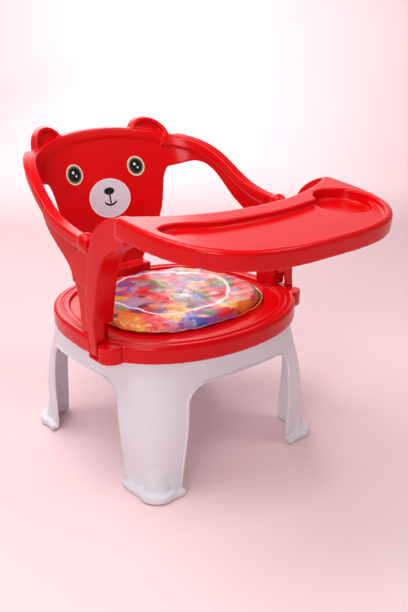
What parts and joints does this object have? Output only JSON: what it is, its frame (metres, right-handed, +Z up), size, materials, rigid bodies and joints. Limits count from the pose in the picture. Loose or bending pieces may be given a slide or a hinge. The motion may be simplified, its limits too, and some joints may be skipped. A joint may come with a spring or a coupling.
{
  "type": "baby booster chair with tray",
  "caption": "Low moulded baby chair: white four-legged stool, red seat pan with squeaky cushion, bear-faced backrest with curved arms, and a lift-off food tray.",
  "frame": {"origin": "middle of the bottom of the whole chair's bounding box, on the floor", "axes": "+Z up; the child faces -Y, towards the tray; +X is the child's left"},
  "size_m": [0.32, 0.4494, 0.4],
  "materials": {
    "screw_steel": "brushed",
    "back_red": "gloss",
    "stool_white": "semi-gloss",
    "cushion_back": "satin",
    "foam": "matte",
    "cushion_print": "gloss",
    "eye_print": "gloss",
    "pad_clear": "satin",
    "muzzle_print": "gloss",
    "seat_red": "gloss",
    "squeaker": "gloss",
    "reed": "satin",
    "tray_red": "gloss"
  },
  "bodies": {
    "chair": {"backrest_screws": "screw_steel", "backrest_with_arms": "back_red", "base_frame": "stool_white", "eye_sticker_left": "eye_print", "eye_sticker_right": "eye_print", "foot_pad_front_left": "pad_clear", "foot_pad_front_right": "pad_clear", "foot_pad_rear_left": "pad_clear", "foot_pad_rear_right": "pad_clear", "muzzle_sticker": "muzzle_print", "seat_pan": "seat_red", "seat_screws": "screw_steel"},
    "tray": {"tray": "tray_red"},
    "cushion": {"cushion_top_cover": "cushion_print", "cushion_bottom_cover": "cushion_back", "cushion_foam": "foam", "squeaker_case": "squeaker", "squeaker_reed": "reed"}
  },
  "joints": [
    {"name": "tray_lift", "type": "slide", "parent": "chair", "child": "tray", "axis": [0, -0.1045, 0.9945], "range_m": [0, 0.15]},
    {"name": "cushion_lift", "type": "slide", "parent": "chair", "child": "cushion", "axis": [0, 0, 1], "range_m": [0, 0.08]}
  ]
}
